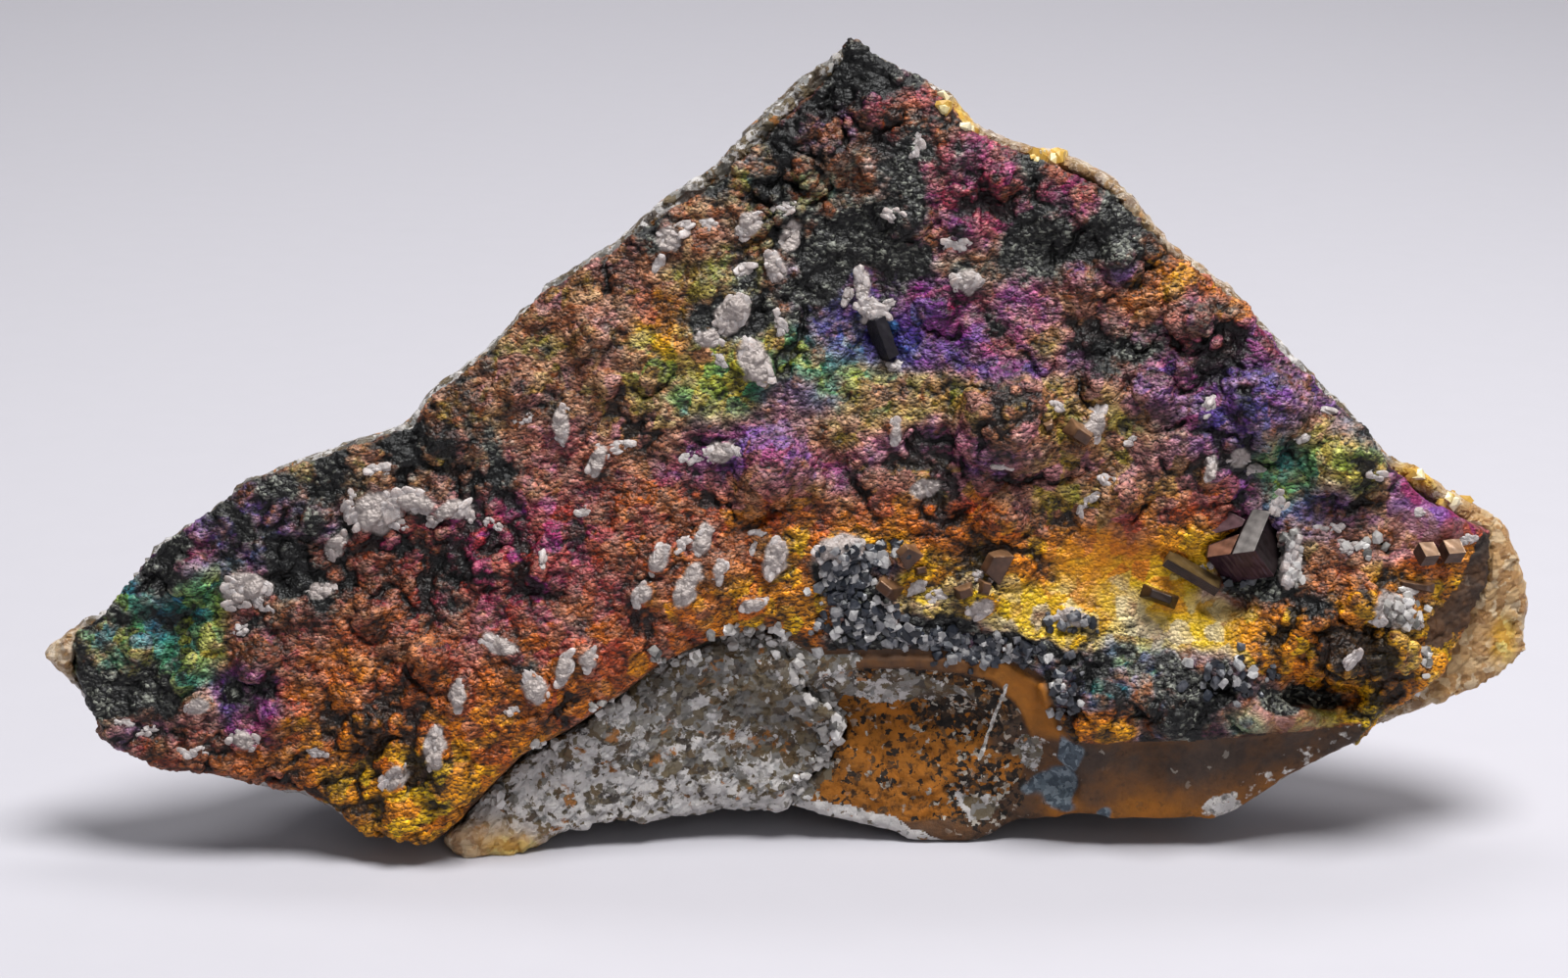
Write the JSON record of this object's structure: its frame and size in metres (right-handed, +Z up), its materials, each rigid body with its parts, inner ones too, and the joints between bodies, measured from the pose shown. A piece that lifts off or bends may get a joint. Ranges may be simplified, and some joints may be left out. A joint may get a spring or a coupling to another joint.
{
  "type": "mineral specimen",
  "caption": "Triangular wedge of pale quartz carrying a lumpy iridescent goethite druse with dark block crystals, resting on its broken lower edge.",
  "frame": {"origin": "the middle of the bounding box's base, on the surface that the specimen stands on", "axes": "+X along the specimen's length, to the right as its druse is seen; +Y from the druse into the quartz, the shortest way; +Z up"},
  "size_m": [0.1238, 0.0356, 0.0657],
  "materials": {
    "quartz": "broken milky to honey quartz, sugary and slightly translucent",
    "goethite": "granular goethite with a thin iridescent oxide film, satin",
    "dark_crystal": "near-black limonite crystal faces, striated, semi-gloss"
  },
  "bodies": {
    "root": {"quartz_matrix": "quartz", "goethite_crust": "goethite", "block_crystal": "dark_crystal", "bar_crystal": "dark_crystal", "cube_crystal_left": "dark_crystal", "cube_crystal_right": "dark_crystal", "prism_crystal": "dark_crystal"}
  },
  "joints": []
}
